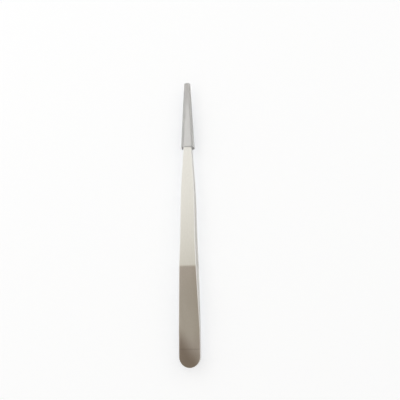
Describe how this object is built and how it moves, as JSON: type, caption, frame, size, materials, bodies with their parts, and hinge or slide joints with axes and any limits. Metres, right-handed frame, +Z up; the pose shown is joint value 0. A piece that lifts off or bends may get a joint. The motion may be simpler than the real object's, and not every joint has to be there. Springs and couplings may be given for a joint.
{
  "type": "fine tip tweezers",
  "caption": "Fine tip tweezers: sprung steel arms joined at a rounded heel, held closed by a soft translucent cap that pulls off the needle tips.",
  "frame": {"origin": "centre of the bounding box in X and Y, on the plane under the lower arm's belly", "axes": "+Y along the tweezers from the heel to the tips, +Z up through both arms, which lie broad side up, +X across their width"},
  "size_m": [0.0088, 0.1262, 0.0085],
  "materials": {
    "steel": "satin, fine lengthwise grain",
    "vinyl": "milky translucent soft vinyl"
  },
  "bodies": {
    "lower_arm": {"lower_arm": "steel"},
    "heel": {"upper_tang": "steel", "lower_tang": "steel"},
    "upper_arm": {"upper_arm": "steel"},
    "tip_cap": {"tip_cap": "vinyl"}
  },
  "joints": [
    {"name": "lower_arm_flex", "type": "hinge", "parent": "lower_arm", "child": "heel", "pos_m": [0, -0.04859, 0.00338], "axis": [1, 0, 0], "range_deg": [0, 2.2], "stiffness_Nm_per_rad": 0.5, "springref_deg": 2.2},
    {"name": "upper_arm_flex", "type": "hinge", "parent": "heel", "child": "upper_arm", "pos_m": [0, -0.04859, 0.00514], "axis": [1, 0, 0], "range_deg": [0, 2.2], "stiffness_Nm_per_rad": 0.5, "springref_deg": 2.2},
    {"name": "cap_pull", "type": "slide", "parent": "heel", "child": "tip_cap", "axis": [0, 1, 0], "range_m": [0, 0.065]}
  ],
  "couplings": [
    {"joint": "lower_arm_flex", "follows": "cap_pull", "rad_per_m": 0.5905},
    {"joint": "upper_arm_flex", "follows": "cap_pull", "rad_per_m": 0.5905}
  ]
}
